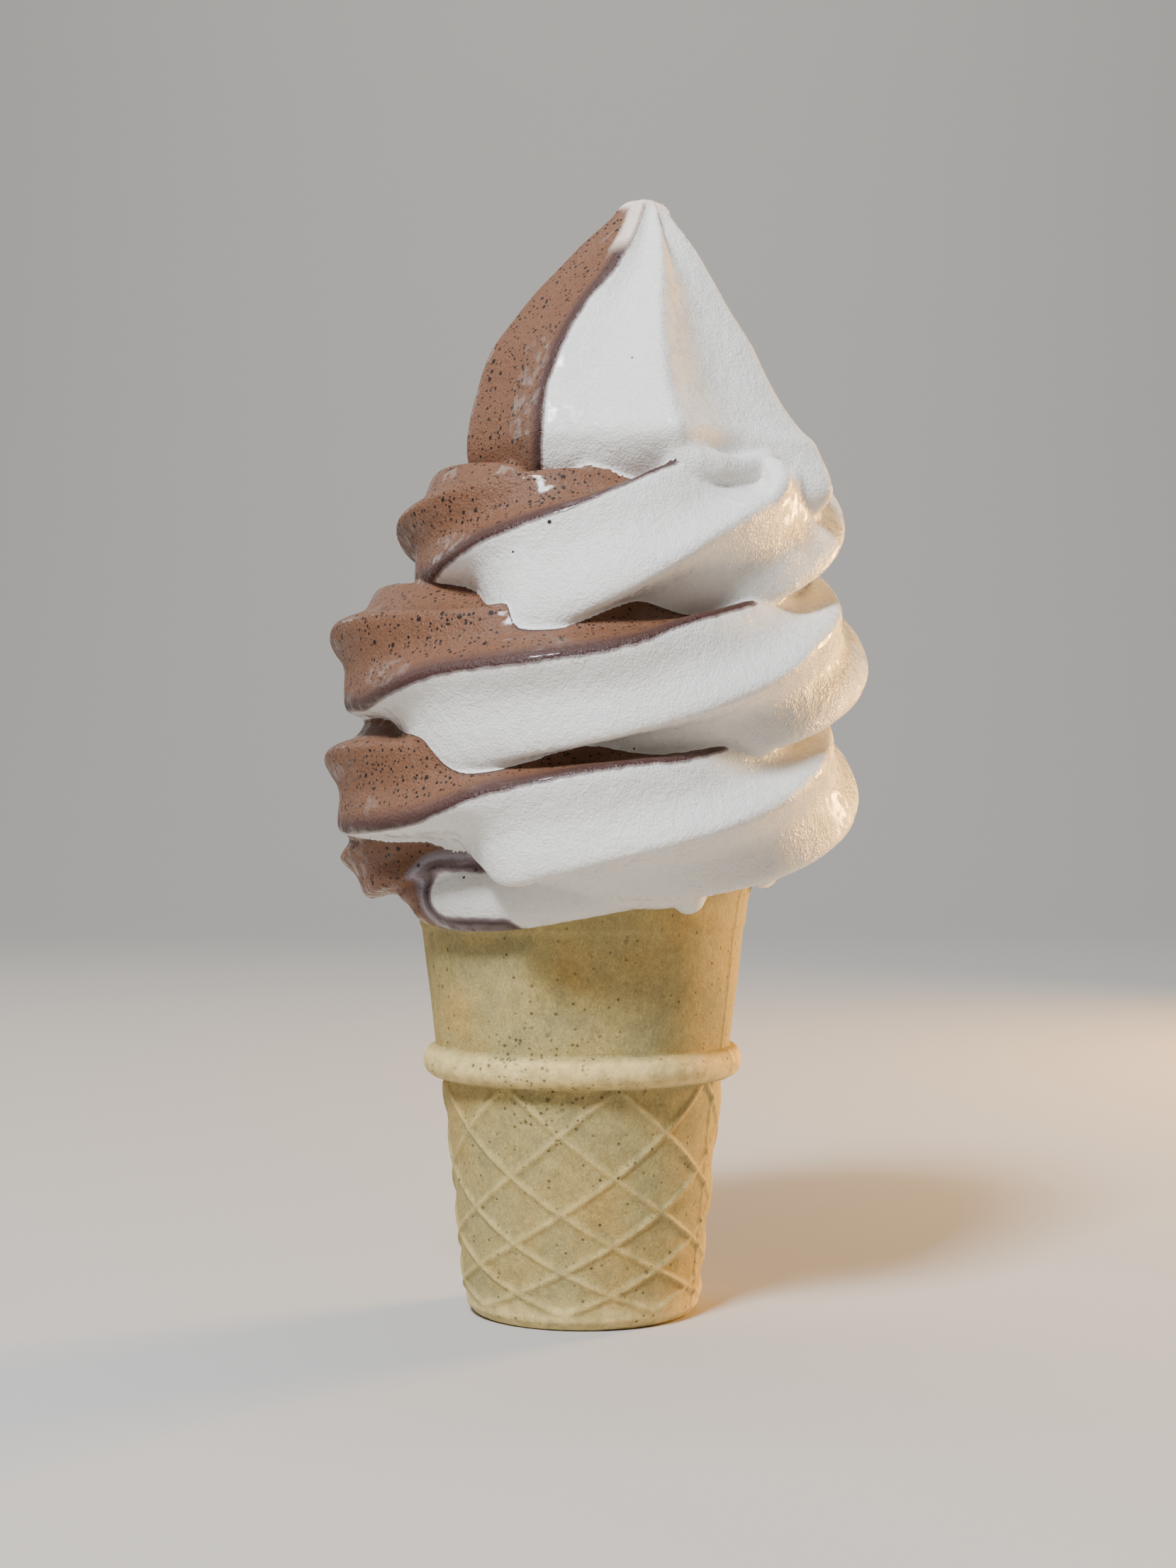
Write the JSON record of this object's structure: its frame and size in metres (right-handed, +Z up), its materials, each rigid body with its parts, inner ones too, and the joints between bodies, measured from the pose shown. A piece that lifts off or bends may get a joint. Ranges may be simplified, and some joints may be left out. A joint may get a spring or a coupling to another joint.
{
  "type": "soft serve ice cream cone",
  "caption": "Twist soft serve of vanilla and chocolate, coiled to a point on a flat-based wafer cone with a waist ring and a raised diamond lattice.",
  "frame": {"origin": "centre of the wafer cone's flat base, on the plane it stands on", "axes": "+Z up through the cone to the tip of the swirl, -Y the front of the swirl as it is usually seen, +X to the right of that view"},
  "size_m": [0.0879, 0.0863, 0.1809],
  "materials": {
    "baked_wafer": "matte, dry, pale baked wafer",
    "soft_serve": "smooth, slightly wet frozen cream, half vanilla and half chocolate"
  },
  "bodies": {
    "root": {"wafer_cone": "baked_wafer", "soft_serve": "soft_serve"}
  },
  "joints": []
}
